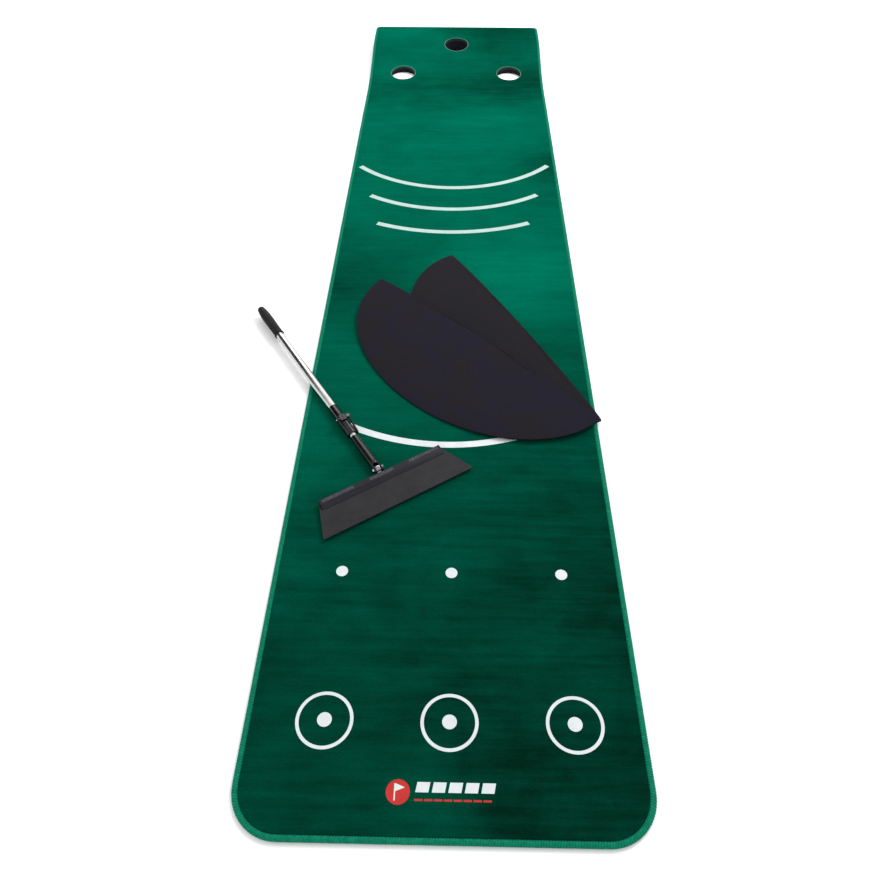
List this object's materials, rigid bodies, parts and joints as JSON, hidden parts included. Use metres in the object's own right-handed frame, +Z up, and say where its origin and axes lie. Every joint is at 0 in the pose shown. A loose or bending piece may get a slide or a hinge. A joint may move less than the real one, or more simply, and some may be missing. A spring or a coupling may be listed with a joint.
{
  "type": "practice putting mat",
  "caption": "Long green putting mat with a foam ramp and cups at its far end, loose foam break pads and a telescopic pile groomer lying on it.",
  "frame": {"origin": "on the floor, at the centre of the mat's footprint, on the underside of its backing", "axes": "+X across the mat, +Y along the mat towards the cups, +Z up from the floor"},
  "size_m": [0.8252, 3, 0.057],
  "materials": {
    "turf": "matte",
    "binding": "matte",
    "backing": "matte",
    "foam": "matte",
    "bristle": "matte",
    "head_plastic": "matte",
    "handle_plastic": "gloss",
    "grip_rubber": "matte",
    "tube_metal": "polished",
    "bright_metal": "polished",
    "steel": "satin"
  },
  "bodies": {
    "mat": {"turf_pile": "turf", "non_slip_backing": "backing", "edge_binding": "binding", "ramp_binding": "binding", "end_ramp": "foam"},
    "rear_pad": {"rear_break_pad": "foam"},
    "front_pad": {"front_break_pad": "foam"},
    "head": {"brush_pad": "bristle", "head_plate": "head_plastic", "clamp_bar": "head_plastic", "rib_inserts": "grip_rubber", "head_screws": "steel", "pivot_eye": "bright_metal"},
    "lower_handle": {"handle_socket": "handle_plastic", "pivot_washers": "steel", "pivot_bolt": "bright_metal", "pivot_nut": "bright_metal", "inner_tube": "tube_metal", "socket_pin": "steel", "glide_bush": "head_plastic"},
    "upper_handle": {"outer_tube": "tube_metal", "clamp_collar": "handle_plastic", "clamp_screw": "bright_metal", "clamp_thumb_nut": "handle_plastic", "lever_pin": "steel", "handle_grip": "grip_rubber"},
    "lever": {"clamp_lever": "handle_plastic"}
  },
  "joints": [
    {"name": "rear_pad_lift", "type": "slide", "parent": "mat", "child": "rear_pad", "axis": [0, 0, 1], "range_m": [0, 0.25]},
    {"name": "front_pad_lift", "type": "slide", "parent": "rear_pad", "child": "front_pad", "axis": [0, 0, 1], "range_m": [0, 0.25]},
    {"name": "groomer_lift", "type": "slide", "parent": "mat", "child": "head", "axis": [0, 0, 1], "range_m": [0, 0.3]},
    {"name": "handle_tilt", "type": "hinge", "parent": "head", "child": "lower_handle", "pos_m": [-0.1478, -0.8013, 0.0198], "axis": [0.8387, 0.5446, 0], "range_deg": [0, 110]},
    {"name": "handle_extension", "type": "slide", "parent": "lower_handle", "child": "upper_handle", "axis": [-0.5446, 0.8387, 0], "range_m": [0, 0.27]},
    {"name": "clamp_lever_swing", "type": "hinge", "parent": "upper_handle", "child": "lever", "pos_m": [-0.22253, -0.66382, 0.0327], "axis": [0, 0, 1], "range_deg": [0, 90]}
  ]
}
